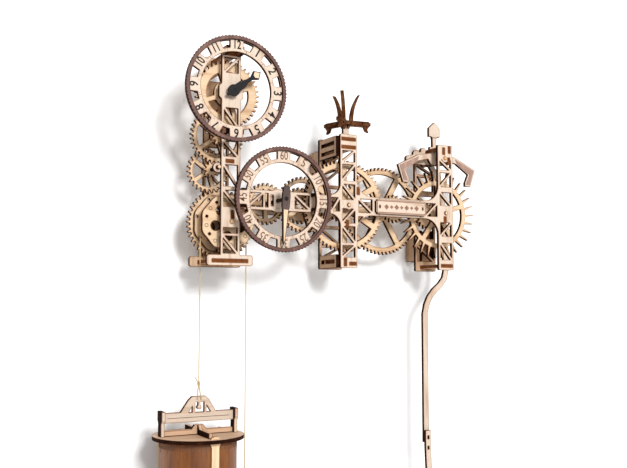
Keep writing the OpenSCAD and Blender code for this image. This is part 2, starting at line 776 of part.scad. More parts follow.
// Eight-sided tube along straight points
function ring_pts(p, r) = [for (i = [0:7]) [p[0] + r * cos(i * 45), p[1] + r * sin(i * 45), p[2]]];
module tube(path, r) {
    n = len(path);
    polyhedron(points = [for (p = path) each ring_pts(p, r)],
        faces = [[for (i = [0:7]) i], [for (i = [7:-1:0]) (n - 1) * 8 + i],
            for (k = [0:n - 2], i = [0:7])
                let (a = k * 8, b = a + 8, j = (i + 1) % 8) [a + j, a + i, b + i, b + j]]);
}
function drop(x, z0, z1, n) = [for (i = [0:n]) [x, weight_y, z0 + (z1 - z0) * i / n]];
module weight_cord() {
    color([0.78, 0.7, 0.6]) hung() tube(drop(weight_x, great_z, bail_top, 40), cord_d / 2);
}
module counter_cord() {
    color([0.78, 0.7, 0.6]) hung() tube(drop(counter_x, great_z, counter_z, 60), cord_d / 2);
}
module counterweight() {
    ply() translate([counter_x, weight_y, counter_z]) rotate_extrude($fn = 48)
        polygon([[0, 0], [2.5, 0], [8, -6], [8, -26], [3, -34], [0, -34]]);
}

hour_tower_front();
hour_tower_back();
hour_tower_shelves();
middle_tower_front();
middle_tower_back();
middle_tower_shelves();
middle_tower_webs();
right_tower_front();
right_tower_back();
right_tower_shelves();
minute_beam();
minute_beam_back();
name_beam();
name_beam_back();
name_plate();
link_bridge();
hour_dial_face();
hour_dial_rim();
hour_dial_brackets();
minute_dial_face();
minute_dial_rim();
minute_dial_brackets();
wall_bracket_left();
wall_bracket_middle();
wall_bracket_right();
finial();
rotor_post();
great_wheel();
great_arbor();
drum_flanges();
drum_core();
idler_wheel();
idler_pinion();
transfer_wheel();
transfer_pinion();
hour_wheel();
hour_arbor();
hour_hand();
minute_wheel();
minute_arbor();
minute_hand();
link_gear();
link_wheel();
centre_wheel();
centre_pinion();
third_wheel();
third_pinion();
escape_wheel();
escape_pinion();
anchor();
pallet_arbor();
pendulum_rod();
pendulum_bob();
weight_bail();
weight_cap();
weight_canister();
weight_cord();
counterweight();
counter_cord();
rotor();
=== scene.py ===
"""Looks of a weight-driven wall clock cut from birch plywood by laser and slotted together."""

import json

import bmesh
import bpy
import numpy as np
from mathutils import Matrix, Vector


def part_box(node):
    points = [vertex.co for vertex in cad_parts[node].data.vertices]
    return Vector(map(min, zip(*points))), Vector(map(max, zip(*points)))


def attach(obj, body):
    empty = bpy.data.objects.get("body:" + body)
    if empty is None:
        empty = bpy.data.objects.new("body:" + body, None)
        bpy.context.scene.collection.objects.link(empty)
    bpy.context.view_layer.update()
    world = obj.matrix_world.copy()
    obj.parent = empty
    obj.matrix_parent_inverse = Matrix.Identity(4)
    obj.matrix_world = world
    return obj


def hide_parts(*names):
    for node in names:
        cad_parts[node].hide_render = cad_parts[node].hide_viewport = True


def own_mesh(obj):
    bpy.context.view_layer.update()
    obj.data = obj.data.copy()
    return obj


bl_info = {
    "name": "Plywood Wall Clock",
    "version": (1, 0, 0),
    "blender": (4, 5, 0),
    "location": "View3D > Sidebar > Clock",
    "description": "Dials, cords, canister and finishes of a laser-cut plywood wall clock",
    "category": "Add Mesh",
}

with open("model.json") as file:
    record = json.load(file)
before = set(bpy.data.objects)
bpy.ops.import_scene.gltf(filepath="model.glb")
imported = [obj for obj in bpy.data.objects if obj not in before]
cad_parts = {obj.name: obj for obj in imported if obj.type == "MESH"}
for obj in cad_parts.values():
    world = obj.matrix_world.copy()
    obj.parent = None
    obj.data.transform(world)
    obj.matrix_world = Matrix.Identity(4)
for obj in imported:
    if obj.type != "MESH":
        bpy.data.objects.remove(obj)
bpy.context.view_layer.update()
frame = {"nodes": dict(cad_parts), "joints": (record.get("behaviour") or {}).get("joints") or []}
NODES = frame["nodes"]
MM = 0.001
SHEET = 3.7 * MM
# height of a digit as a share of the font's size, and the angle between two numbers of a dial
DIGIT_SHARE = 0.73
HOUR_STEP = 30.0
# rest angles of the hands, from +X towards +Z
HAND_ANGLES = {"hour": 37.0, "minute": -93.4}


# ---- measures taken from the frame ------------------------------------------------------

def centre(node):
    """Middle of a node's box."""
    low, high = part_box(node)
    return (low + high) / 2


HOUR = centre("hour_dial_rim")
MINUTE = centre("minute_dial_rim")
DIAL_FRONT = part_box("hour_dial_face")[0].y
CAN_LOW, CAN_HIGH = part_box("weight_canister")
WEIGHT = centre("weight_cap")
BAIL_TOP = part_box("weight_bail")[1].z
CORD_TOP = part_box("weight_cord")[1].z


# ---- colour and node helpers ------------------------------------------------------------

def shade(code):
    """Linear colour of an sRGB hex code, opaque."""
    parts = [int(code[i:i + 2], 16) / 255 for i in (1, 3, 5)]
    linear = [p / 12.92 if p <= 0.04045 else ((p + 0.055) / 1.055) ** 2.4 for p in parts]
    return (*linear, 1.0)


def add(tree, kind, inputs=None, **settings):
    """Adds one node; an input given as a socket is linked, and any other is set."""
    node = tree.nodes.new(kind)
    for name, value in settings.items():
        setattr(node, name, value)
    for name, value in (inputs or {}).items():
        if isinstance(value, bpy.types.NodeSocket):
            tree.links.new(value, node.inputs[name])
        else:
            node.inputs[name].default_value = value
    return node


def ramp(tree, factor, stops):
    """Colour ramp through (place, hex) stops."""
    node = add(tree, "ShaderNodeValToRGB", {"Fac": factor})
    band = node.color_ramp
    while len(band.elements) < len(stops):
        band.elements.new(0.5)
    for element, (place, code) in zip(band.elements, stops):
        element.position = place
        element.color = shade(code)
    return node.outputs["Color"]


def fresh(name):
    """New node material with its shader and output; returns the material, tree and shader."""
    material = bpy.data.materials.new(name)
    material.use_nodes = True
    tree = material.node_tree
    return material, tree, tree.nodes["Principled BSDF"]


def blend_colour(tree, factor, a, b, mode="MIX"):
    """Mixes two colours; returns the colour socket."""
    node = add(tree, "ShaderNodeMix", data_type="RGBA", blend_type=mode)
    for socket, value in ((node.inputs[0], factor), (node.inputs[6], a), (node.inputs[7], b)):
        if isinstance(value, bpy.types.NodeSocket):
            tree.links.new(value, socket)
        else:
            socket.default_value = value
    return node.outputs[2]


AXES = {"x": (1, 0, 0), "y": (0, 1, 0), "z": (0, 0, 1)}
PORE = 0.35 * MM
FIGURE = 9 * MM
VENEER = 1.25 * MM
SCORCH = 1.0 * MM


def plywood(name, thin="y", grain="z", face="#cbb8a6", dark="#b69a82", char="#0c0301", glow="#280f06",
            core="#54301c", ribs_above=None, scorch=0.9):
    """Birch plywood, raw, cut by laser: pale close-grained faces and charred edges that show the plies.

    thin is the axis through the sheet and grain the axis of the face veneer's fibres. Fibre streaks
    are noise drawn out along the grain, the growth figure is a coarser noise of the same kind, and
    an edge is any face whose normal leaves the thin axis, but above ribs_above the faces along Y are
    faces of upright ribs. The laser's smoke darkens a face within a scorch width of its rim: there a
    ray sent inwards soon meets the cut edge. A thin overlay has no scorch.
    """
    material, tree, shader = fresh(name)
    place = add(tree, "ShaderNodeTexCoord")
    along = Vector(AXES[grain])
    fibre = [1 / PORE * (0.035 if component else 1.0) for component in along]
    swell = [1 / FIGURE * (0.12 if component else 1.0) for component in along]
    fine_at = add(tree, "ShaderNodeMapping", {"Vector": place.outputs["Object"], "Scale": fibre})
    wide_at = add(tree, "ShaderNodeMapping", {"Vector": place.outputs["Object"], "Scale": swell})
    fine = add(tree, "ShaderNodeTexNoise", {"Vector": fine_at.outputs[0], "Scale": 1.0, "Detail": 3.0})
    wide = add(tree, "ShaderNodeTexNoise",
               {"Vector": wide_at.outputs[0], "Scale": 1.0, "Detail": 4.0, "Distortion": 0.6})
    base = ramp(tree, wide.outputs["Fac"], [(0.3, dark), (0.48, face), (0.75, face)])
    streak = ramp(tree, fine.outputs["Fac"], [(0.28, "#a8825c"), (0.42, "#ffffff"), (0.8, "#ffffff")])
    top = blend_colour(tree, 0.55, base, streak, "MULTIPLY")

    turned = add(tree, "ShaderNodeVectorMath",
                 {0: place.outputs["Normal"], 1: AXES[thin]}, operation="DOT_PRODUCT")
    flat = add(tree, "ShaderNodeMath", {0: turned.outputs["Value"]}, operation="ABSOLUTE")
    is_face = add(tree, "ShaderNodeMath", {0: flat.outputs[0], 1: 0.7}, operation="GREATER_THAN")
    if ribs_above is not None:
        height = add(tree, "ShaderNodeSeparateXYZ", {0: place.outputs["Object"]})
        over = add(tree, "ShaderNodeMath", {0: height.outputs["Z"], 1: ribs_above},
                   operation="GREATER_THAN")
        way = add(tree, "ShaderNodeSeparateXYZ", {0: place.outputs["Normal"]})
        steep = add(tree, "ShaderNodeMath", {0: way.outputs["Y"]}, operation="ABSOLUTE")
        along_y = add(tree, "ShaderNodeMath", {0: steep.outputs[0], 1: 0.7}, operation="GREATER_THAN")
        rib = add(tree, "ShaderNodeMath", {0: over.outputs[0], 1: along_y.outputs[0]},
                  operation="MULTIPLY")
        is_face = add(tree, "ShaderNodeMath", {0: is_face.outputs[0], 1: rib.outputs[0]},
                      operation="MAXIMUM")

    depth = add(tree, "ShaderNodeVectorMath",
                {0: place.outputs["Object"], 1: AXES[thin]}, operation="DOT_PRODUCT")
    turns = add(tree, "ShaderNodeMath", {0: depth.outputs["Value"], 1: 6.283 / VENEER},
                operation="MULTIPLY")
    ply = add(tree, "ShaderNodeMath", {0: turns.outputs[0]}, operation="SINE")
    ply01 = add(tree, "ShaderNodeMapRange", {"Value": ply.outputs[0], "From Min": -1.0, "To Min": 0.15})
    smoke = add(tree, "ShaderNodeTexNoise",
                {"Vector": place.outputs["Object"], "Scale": 160.0, "Detail": 3.0})
    heat = add(tree, "ShaderNodeMath", {0: ply01.outputs[0], 1: smoke.outputs["Fac"]}, operation="MULTIPLY")
    edge = ramp(tree, heat.outputs[0], [(0.08, char), (0.4, glow), (0.8, core)])

    rim = add(tree, "ShaderNodeAmbientOcclusion", {"Distance": SCORCH},
              samples=6, inside=True, only_local=True)
    burn = ramp(tree, rim.outputs["AO"], [(0.45, "#5c3420"), (0.78, "#c89c7c"), (0.97, "#ffffff")])
    top = blend_colour(tree, scorch, top, burn, "MULTIPLY")
    colour = blend_colour(tree, is_face.outputs[0], edge, top)
    tree.links.new(colour, shader.inputs["Base Color"])
    rough = add(tree, "ShaderNodeMapRange",
                {"Value": is_face.outputs[0], "To Min": 0.85, "To Max": 0.58})
    tree.links.new(rough.outputs[0], shader.inputs["Roughness"])
    bump = add(tree, "ShaderNodeBump",
               {"Height": fine.outputs["Fac"], "Strength": 0.25, "Distance": 0.1 * MM})
    tree.links.new(bump.outputs[0], shader.inputs["Normal"])
    sheen = add(tree, "ShaderNodeMapRange", {"Value": is_face.outputs[0], "To Min": 0.05, "To Max": 0.3})
    tree.links.new(sheen.outputs[0], shader.inputs["Specular IOR Level"])
    return material


def stained_plywood(name, body="#5a3c34", light="#76564a", char="#160a06", scorch=0.9):
    """Plywood wiped with brown water stain before cutting: the fibres take it unevenly."""
    return plywood(name, face=body, dark=light, char=char, glow="#2c1610", core="#3c2218",
                   scorch=scorch)


def ebonised(name):
    """Plywood painted black and rubbed back, for the hands: a low sheen over open pores."""
    material, tree, shader = fresh(name)
    place = add(tree, "ShaderNodeTexCoord")
    noise = add(tree, "ShaderNodeTexNoise",
                {"Vector": place.outputs["Object"], "Scale": 900.0, "Detail": 4.0})
    tree.links.new(ramp(tree, noise.outputs["Fac"], [(0.35, "#070505"), (0.7, "#14100f")]),
                   shader.inputs["Base Color"])
    tree.links.new(add(tree, "ShaderNodeBump", {"Height": noise.outputs["Fac"], "Strength": 0.3,
                                                "Distance": 0.1 * MM}).outputs[0], shader.inputs["Normal"])
    shader.inputs["Roughness"].default_value = 0.6
    shader.inputs["Specular IOR Level"].default_value = 0.2
    return material


def turned_beech(name):
    """Beech dowel, turned: warm wood with short dark flecks along the bar."""
    material, tree, shader = fresh(name)
    place = add(tree, "ShaderNodeTexCoord")
    at = add(tree, "ShaderNodeMapping", {"Vector": place.outputs["Object"], "Scale": (2200, 260, 2200)})
    noise = add(tree, "ShaderNodeTexNoise", {"Vector": at.outputs[0], "Scale": 1.0, "Detail": 3.0})
    tree.links.new(ramp(tree, noise.outputs["Fac"], [(0.3, "#8a5c36"), (0.5, "#c39a6a"), (0.8, "#d6b486")]),
                   shader.inputs["Base Color"])
    shader.inputs["Roughness"].default_value = 0.5
    return material


def bent_plywood(name):
    """Thin aircraft plywood bent round the canister, oiled: caramel brown, fibres upright."""
    material, tree, shader = fresh(name)
    place = add(tree, "ShaderNodeTexCoord")
    at = add(tree, "ShaderNodeMapping", {"Vector": place.outputs["Object"], "Scale": (1400, 1400, 60)})
    broad_at = add(tree, "ShaderNodeMapping", {"Vector": place.outputs["Object"], "Scale": (60, 60, 9)})
    fibre = add(tree, "ShaderNodeTexNoise", {"Vector": at.outputs[0], "Scale": 1.0, "Detail": 4.0})
    broad = add(tree, "ShaderNodeTexNoise", {"Vector": broad_at.outputs[0], "Scale": 1.0, "Detail": 3.0})
    base = ramp(tree, broad.outputs["Fac"], [(0.3, "#562c0c"), (0.5, "#744114"), (0.72, "#88521e")])
    streak = ramp(tree, fibre.outputs["Fac"], [(0.3, "#8a6440"), (0.5, "#ffffff"), (0.8, "#ffffff")])
    tree.links.new(blend_colour(tree, 0.4, base, streak, "MULTIPLY"), shader.inputs["Base Color"])
    tree.links.new(add(tree, "ShaderNodeBump", {"Height": fibre.outputs["Fac"], "Strength": 0.25,
                                                "Distance": 0.1 * MM}).outputs[0], shader.inputs["Normal"])
    shader.inputs["Roughness"].default_value = 0.46
    return material


def engraving(name, code="#4a2f22", light="#8a6248"):
    """Shallow laser engraving: the wood is scorched to a matt brown, mottled by the fibres."""
    material, tree, shader = fresh(name)
    place = add(tree, "ShaderNodeTexCoord")
    noise = add(tree, "ShaderNodeTexNoise",
                {"Vector": place.outputs["Object"], "Scale": 1800.0, "Detail": 2.0})
    tree.links.new(blend_colour(tree, noise.outputs["Fac"], shade(code), shade(light)),
                   shader.inputs["Base Color"])
    shader.inputs["Roughness"].default_value = 0.9
    return material


def twisted_cord(name):
    """Waxed linen cord of two strands: slanted light and dark bands follow the UV map of the tube."""
    material, tree, shader = fresh(name)
    place = add(tree, "ShaderNodeTexCoord")
    wave = add(tree, "ShaderNodeTexWave", {"Vector": place.outputs["UV"], "Scale": 1.0, "Distortion": 0.6,
                                           "Detail": 1.0}, bands_direction="DIAGONAL")
    tree.links.new(ramp(tree, wave.outputs["Fac"], [(0.1, "#8f7448"), (0.6, "#c8ab78"), (0.95, "#e0c89a")]),
                   shader.inputs["Base Color"])
    tree.links.new(add(tree, "ShaderNodeBump", {"Height": wave.outputs["Fac"], "Strength": 0.5,
                                                "Distance": 0.2 * MM}).outputs[0], shader.inputs["Normal"])
    shader.inputs["Roughness"].default_value = 0.78
    return material


def painted_wall(name):
    """Matt white emulsion on a smooth wall, which is seen through from behind."""
    material, tree, shader = fresh(name)
    shader.inputs["Base Color"].default_value = shade("#fbfbfb")
    shader.inputs["Roughness"].default_value = 0.9
    behind = add(tree, "ShaderNodeNewGeometry").outputs["Backfacing"]
    clear = add(tree, "ShaderNodeBsdfTransparent").outputs["BSDF"]
    either = add(tree, "ShaderNodeMixShader", {0: behind, 1: shader.outputs["BSDF"], 2: clear})
    tree.links.new(either.outputs[0], tree.nodes["Material Output"].inputs["Surface"])
    return material


# ---- mesh helpers -----------------------------------------------------------------------

def piece(name, points, faces, material, body, uv=None):
    """Object from arrays of points and faces, which rides on a body and has its place in its mesh."""
    mesh = bpy.data.meshes.new(name)
    mesh.from_pydata(np.asarray(points, float).tolist(), [], np.asarray(faces, int).tolist())
    if uv is not None:
        layer = mesh.uv_layers.new(name="UVMap")
        corner = np.zeros(len(mesh.loops), int)
        mesh.loops.foreach_get("vertex_index", corner)
        layer.data.foreach_set("uv", np.asarray(uv, float)[corner].ravel())
    mesh.materials.append(material)
    obj = bpy.data.objects.new(name, mesh)
    bpy.context.scene.collection.objects.link(obj)
    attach(obj, body)
    return obj


def grid_faces(rows, cols, wrap_rows=False, wrap_cols=False):
    """Quads of a grid of rows by cols points, closed round either way if asked."""
    r = np.arange(rows if wrap_rows else rows - 1)
    c = np.arange(cols if wrap_cols else cols - 1)
    i, j = (a.ravel() for a in np.meshgrid(r, c, indexing="ij"))
    a, b = i % rows, (i + 1) % rows
    p, q = j % cols, (j + 1) % cols
    return np.stack([a * cols + p, a * cols + q, b * cols + q, b * cols + p], 1)


def tube(path, radius, sides=10):
    """Round tube: each point of the path carries a circle in the plane across the path's direction.

    Returns points, faces and UV, in which U goes once round and V counts the turns of twist.
    """
    path = np.asarray(path, float)
    along = np.gradient(path, axis=0)
    along /= np.linalg.norm(along, axis=1)[:, None]
    helper = np.where(np.abs(along[:, 1:2]) < 0.9, [[0.0, 1.0, 0.0]], [[1.0, 0.0, 0.0]])
    across = np.cross(along, helper)
    across /= np.linalg.norm(across, axis=1)[:, None]
    up = np.cross(along, across)
    turn = np.linspace(0, 2 * np.pi, sides, endpoint=False)
    ring = across[:, None] * np.cos(turn)[None, :, None] + up[:, None] * np.sin(turn)[None, :, None]
    points = (path[:, None] + radius * ring).reshape(-1, 3)
    faces = [tuple(f) for f in grid_faces(len(path), sides, wrap_cols=True)]
    run = np.concatenate([[0], np.cumsum(np.linalg.norm(np.diff(path, axis=0), axis=1))])
    u, v = np.meshgrid(turn / (2 * np.pi), run / (6 * radius), indexing="xy")
    ends = [tuple(range(sides))[::-1], tuple((len(path) - 1) * sides + k for k in range(sides))]
    return points, faces, ends, np.stack([u.ravel() * 2, v.ravel()], 1)


def tube_piece(name, path, radius, material, body, sides=10):
    """Closed tube as a piece; its normals are made to point outwards."""
    points, faces, ends, uv = tube(path, radius, sides)
    mesh = bpy.data.meshes.new(name)
    mesh.from_pydata(points.tolist(), [], [list(map(int, f)) for f in faces] + [list(e) for e in ends])
    layer = mesh.uv_layers.new(name="UVMap")
    corner = np.zeros(len(mesh.loops), int)
    mesh.loops.foreach_get("vertex_index", corner)
    layer.data.foreach_set("uv", uv[corner].ravel())
    mesh.polygons.foreach_set("use_smooth", [len(p.vertices) == 4 for p in mesh.polygons])
    mesh.materials.append(material)
    outwards(mesh)
    obj = bpy.data.objects.new(name, mesh)
    bpy.context.scene.collection.objects.link(obj)
    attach(obj, body)
    return obj


def outwards(mesh):
    """Turns every face of a closed mesh outwards."""
    work = bmesh.new()
    work.from_mesh(mesh)
    bmesh.ops.recalc_face_normals(work, faces=work.faces)
    work.to_mesh(mesh)
    work.free()


def piece_from_lists(name, points, faces, material, body):
    """Piece from points and faces of mixed size."""
    mesh = bpy.data.meshes.new(name)
    mesh.from_pydata(points.tolist(), [], faces)
    mesh.materials.append(material)
    outwards(mesh)
    obj = bpy.data.objects.new(name, mesh)
    bpy.context.scene.collection.objects.link(obj)
    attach(obj, body)
    return obj


def slab(outline, front, thickness):
    """Flat plate parallel to the wall from an outline of (x, z) points.

    It has a front and a back copy of the outline, and the rim between them.
    """
    outline = np.asarray(outline, float)
    n = len(outline)
    layers = [np.column_stack([outline[:, 0], np.full(n, y), outline[:, 1]])
              for y in (front, front + thickness)]
    faces = [list(range(n)), list(range(2 * n - 1, n - 1, -1))]
    faces += [[k, n + k, n + (k + 1) % n, (k + 1) % n] for k in range(n)]
    return np.concatenate(layers), faces


def slabs(name, outlines, front, thickness, material, body):
    """Several flat plates as one piece."""
    points, faces, base = [], [], 0
    for outline in outlines:
        p, f = slab(outline, front, thickness)
        points.append(p)
        faces += [[base + i for i in face] for face in f]
        base += len(p)
    return piece_from_lists(name, np.concatenate(points), faces, material, body)


def turned(points, angle, about):
    """Points (x, z) turned by an angle and moved to a centre."""
    points = np.asarray(points, float)
    c, s = np.cos(angle), np.sin(angle)
    return points @ np.array([[c, s], [-s, c]]) + np.asarray(about)


def box_outline(x0, z0, x1, z1):
    """Corners of an upright rectangle."""
    return [(x0, z0), (x1, z0), (x1, z1), (x0, z1)]


# ---- property groups --------------------------------------------------------------------

class ClockDialSettings(bpy.types.PropertyGroup):
    """Sizes of what is engraved on the dials."""

    numeral_height: bpy.props.FloatProperty(
        name="Numeral height", description="Height of the dial numbers",
        default=9.4 * MM, unit="LENGTH")
    numeral_radius: bpy.props.FloatProperty(
        name="Numeral radius", description="Distance of the numbers from the dial's centre",
        default=45.6 * MM, unit="LENGTH")
    numeral_depth: bpy.props.FloatProperty(
        name="Numeral relief", description="How far the numbers stand on the dial",
        default=0.18 * MM, unit="LENGTH")


class ClockCordSettings(bpy.types.PropertyGroup):
    """Sizes of the cords."""

    diameter: bpy.props.FloatProperty(
        name="Cord diameter", description="Thickness of both cords",
        default=1.2 * MM, unit="LENGTH")
    loop_height: bpy.props.FloatProperty(
        name="Loop height", description="Height of the loop above the bail",
        default=10 * MM, unit="LENGTH")


class ClockLightSettings(bpy.types.PropertyGroup):
    """Strength and size of the studio lights."""

    key_power: bpy.props.FloatProperty(
        name="Key light", description="Power of the key light", default=34.0)
    fill_power: bpy.props.FloatProperty(
        name="Fill light", description="Power of the fill light", default=5.0)
    sky: bpy.props.FloatProperty(
        name="Sky", description="Strength of the even surround light", default=0.40)


# ---- operators --------------------------------------------------------------------------

class CLOCK_OT_finishes(bpy.types.Operator):
    """Gives every plywood, dowel and stained part of the frame its finish; the back plates, shelves, webs,
    dial brackets and rotor get darker copies of the birch plywood as painted shade.
    """

    bl_idname = "clock.finishes"
    bl_label = "Finish the wooden parts"

    def execute(self, context):
        upright = plywood("birch_ply_upright")
        level = plywood("birch_ply_level", grain="x")
        wheel = plywood("birch_ply_wheels", grain="x", face="#d4b896", dark="#b8926c")
        # shelves: the birch plywood's faces coloured dark brown as painted shade, for the undersides of the
        # boards inside the towers
        shelf_painted_shade = plywood("birch_ply_shelves_painted_shade", thin="z", grain="x", face="#9c7654", dark="#7c5638",
                        char="#3a1a0c", glow="#7c4826", core="#946038")
        # webs, wall brackets and drum core: the birch plywood coloured darker as painted shade, for boards
        # that face sideways or sit behind the plates
        web = plywood("birch_ply_webs_painted_shade", thin="x", grain="z", face="#b08c6c", dark="#8c6a4c")
        # dial brackets: the birch plywood coloured dark brown as painted shade, for the blocks in the gap
        # behind the dial
        small = plywood("birch_ply_blocks_painted_shade", thin="x", grain="y", face="#7a5034", dark="#5a3820")
        # back plates: the birch plywood coloured darker as painted shade, for the plates that sit behind
        # the front plates
        back_painted_shade = plywood("birch_ply_back_painted_shade", face="#c0a082", dark="#9c7a5a")
        stained = stained_plywood("mauve_stained_ply")
        black = ebonised("black_ply_hands")
        beech = turned_beech("beech_dowel")
        # rotor: the birch plywood's faces coloured dark brown as painted shade, for the undersides seen
        # from below
        rotor = plywood("rotor_ply_painted_shade", thin="z", grain="x", face="#7a4a2a", dark="#573218",
                        char="#241008", glow="#5c351d", core="#a0744c")
        look = {
            "hour_tower_front": upright, "middle_tower_front": upright, "right_tower_front": upright,
            "hour_tower_back": back_painted_shade, "middle_tower_back": back_painted_shade,
            "right_tower_back": back_painted_shade, "minute_beam_back": level, "name_beam_back": level,
            "minute_beam": level, "name_beam": level, "name_plate": level, "link_bridge": level,
            "hour_tower_shelves": shelf_painted_shade, "middle_tower_shelves": shelf_painted_shade, "right_tower_shelves": shelf_painted_shade,
            "middle_tower_webs": web, "hour_dial_face": upright, "minute_dial_face": upright,
            "hour_dial_rim": stained, "minute_dial_rim": stained, "hour_dial_brackets": small,
            # minute dial brackets: the birch plywood coloured dark brown as painted shade, for the blocks
            # under and behind the dial
            "minute_dial_brackets": plywood("birch_ply_level_blocks_painted_shade", thin="z", grain="y",
                                            face="#8c5c34", dark="#6d4526"),
            "wall_bracket_left": web, "wall_bracket_middle": web, "wall_bracket_right": web,
            "finial": upright, "rotor_post": upright, "rotor": rotor,
            "hour_hand": black, "minute_hand": stained_plywood("mauve_hand_ply", "#443430", "#5e4c47"),
            "anchor": upright, "pendulum_rod": upright, "pendulum_bob": level,
            "weight_bail": level,
            "weight_cap": plywood("birch_ply_lid", thin="z", grain="x", face="#c4a284", dark="#a27c5c",
                                  ribs_above=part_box("weight_cap")[0].z + 1.2 * SHEET),
            "counterweight": beech, "great_arbor": beech, "hour_arbor": black, "minute_arbor": black,
            "pallet_arbor": beech, "drum_core": web,
        }
        for name, node in NODES.items():
            material = look.get(name, wheel)
            for slot in node.material_slots:
                slot.material = material
        return {"FINISHED"}


class CLOCK_OT_cords(bpy.types.Operator):
    """Makes the weight cord with its loop and knot, and the winding cord with its take-up."""

    bl_idname = "clock.cords"
    bl_label = "Hang the cords"

    def execute(self, context):
        settings = context.scene.clock_cords
        radius = settings.diameter / 2
        linen = twisted_cord("waxed_linen_cord")
        x, y = (centre("weight_cord").x, centre("weight_cord").y)
        knot = BAIL_TOP + settings.loop_height + 2 * MM

        run = np.linspace(CORD_TOP, knot, 60)
        path = np.column_stack([np.full(60, x), np.full(60, y), run])
        main = tube_piece("weight_cord_run", path, radius, linen, "cage")
        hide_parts("weight_cord")
        travel = next(j for j in frame["joints"] if j["name"] == "weight_slide")["range_m"][1]
        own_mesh(main)

        # loop: two strands that spread evenly from the knot, and pass in front of the bail into its slot
        t = np.linspace(0, 1, 33)
        wide = 1.9 * MM * np.minimum(t / 0.75, 1.0)
        for side in (-1, 1):
            strand = np.column_stack([x + side * wide, y - 0.2 * MM + 0 * t,
                                      knot - (knot - BAIL_TOP + 3.5 * MM) * t])
            strand[:, 1] -= (SHEET / 2 + radius) * np.clip((t - 0.55) / 0.25, 0, 1)
            tube_piece("loop_strand_left" if side < 0 else "loop_strand_right", strand, radius, linen,
                       "weight", 8)
        # knot: three turns of a tight helix round the cord, and a frayed tail
        turn = np.linspace(0, 6 * np.pi, 90)
        coil = np.column_stack([x + 1.1 * MM * np.cos(turn), y + 1.1 * MM * np.sin(turn),
                                knot - 1.5 * MM + 3.4 * MM * turn / turn[-1]])
        tube_piece("cord_knot", coil, radius * 0.95, linen, "weight", 8)
        s = np.linspace(0, 1, 14)
        tail = np.column_stack([x - 1.2 * MM - 3.6 * MM * s, y - 0.8 * MM - 0.4 * MM * s,
                                knot + 1.5 * MM + 7.5 * MM * s - 2 * MM * s ** 2])
        tube_piece("cord_tail", tail, radius * 0.9, linen, "weight", 8)

        low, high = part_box("counter_cord")
        x2, y2 = (low.x + high.x) / 2, (low.y + high.y) / 2
        run = np.linspace(high.z, low.z, 90)
        path = np.column_stack([np.full(90, x2), np.full(90, y2), run])
        winding = tube_piece("winding_cord", path, radius, linen, "cage")
        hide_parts("counter_cord")
        run = np.linspace(low.z + travel + 4 * MM, low.z, 40)
        path = np.column_stack([np.full(40, x2), np.full(40, y2), run])
        tube_piece("winding_cord_take_up", path, radius * 0.93, linen, "counter")
        return {"FINISHED"}


class CLOCK_OT_dials(bpy.types.Operator):
    """Engraves the numbers, ticks and tile lines of both dials."""

    bl_idname = "clock.dials"
    bl_label = "Engrave the dials"

    def numerals(self, name, words, about, settings, material, swell):
        """Numbers round a dial, each upright along its radius, joined in one mesh.

        Swell thickens the strokes.
        """
        points, faces, base = [], [], 0
        for step, word in enumerate(words):
            curve = bpy.data.curves.new(name, "FONT")
            curve.body = word
            curve.align_x, curve.align_y = "CENTER", "CENTER"
            curve.size = settings.numeral_height / DIGIT_SHARE
            curve.extrude = settings.numeral_depth / 2
            curve.offset = swell
            curve.resolution_u = 4
            shape = bpy.data.objects.new(name, curve)
            mesh = bpy.data.meshes.new_from_object(shape)
            flat = np.zeros(len(mesh.vertices) * 3)
            mesh.vertices.foreach_get("co", flat)
            flat = flat.reshape(-1, 3)
            angle = np.radians(HOUR_STEP * (step + 1))
            # condensed a little, as the narrow book figures on the dial are
            squeeze = 0.72 if len(word) > 1 else 0.86
            across, up = flat[:, 0] * squeeze, flat[:, 1] + settings.numeral_radius
            x = about.x + across * np.cos(angle) + up * np.sin(angle)
            z = about.z - across * np.sin(angle) + up * np.cos(angle)
            points.append(np.column_stack([x, DIAL_FRONT - flat[:, 2], z]))
            faces += [[base + i for i in p.vertices] for p in mesh.polygons]
            base += len(flat)
            bpy.data.meshes.remove(mesh)
            bpy.data.objects.remove(shape)
            bpy.data.curves.remove(curve)
        piece_from_lists(name, np.concatenate(points), faces, material, "cage")

    def execute(self, context):
        settings = context.scene.clock_dials
        scorch = engraving("scorched_engraving", "#140a07", "#2c1a12")
        pale = engraving("pale_engraving", "#4e2f1e", "#7a5238")
        hours = [str(k) for k in range(1, 13)]
        minutes = [str(5 * k) for k in range(1, 13)]
        self.numerals("hour_numbers", hours, HOUR, settings, scorch, 0.28 * MM)
        self.numerals("minute_numbers", minutes, MINUTE, settings, pale, 0.08 * MM)
        for name, about in (("hour_dial_lines", HOUR), ("minute_dial_lines", MINUTE)):
            marks = []
            for step in range(12):
                angle = -np.radians(HOUR_STEP * (step + 0.5))
                tick = box_outline(-0.25 * MM, 39.2 * MM, 0.25 * MM, 41.8 * MM)
                marks.append(turned(tick, angle, (about.x, about.z)))
                for minor in (-9, -3, 3, 9):
                    fine = box_outline(-0.15 * MM, 40.4 * MM, 0.15 * MM, 41.6 * MM)
                    marks.append(turned(fine, angle + np.radians(minor), (about.x, about.z)))
            slabs(name, marks, DIAL_FRONT - 0.1 * MM, 0.2 * MM, pale, "cage")
        return {"FINISHED"}


def inset(outline, by):
    """Moves every side of a clockwise outline inwards by the same distance."""
    side = np.roll(outline, -1, axis=0) - outline
    side /= np.linalg.norm(side, axis=1)[:, None]
    inward = np.column_stack([side[:, 1], -side[:, 0]])
    before = np.roll(inward, 1, axis=0)
    return outline + by * (inward + before) / (1 + (inward * before).sum(1))[:, None]


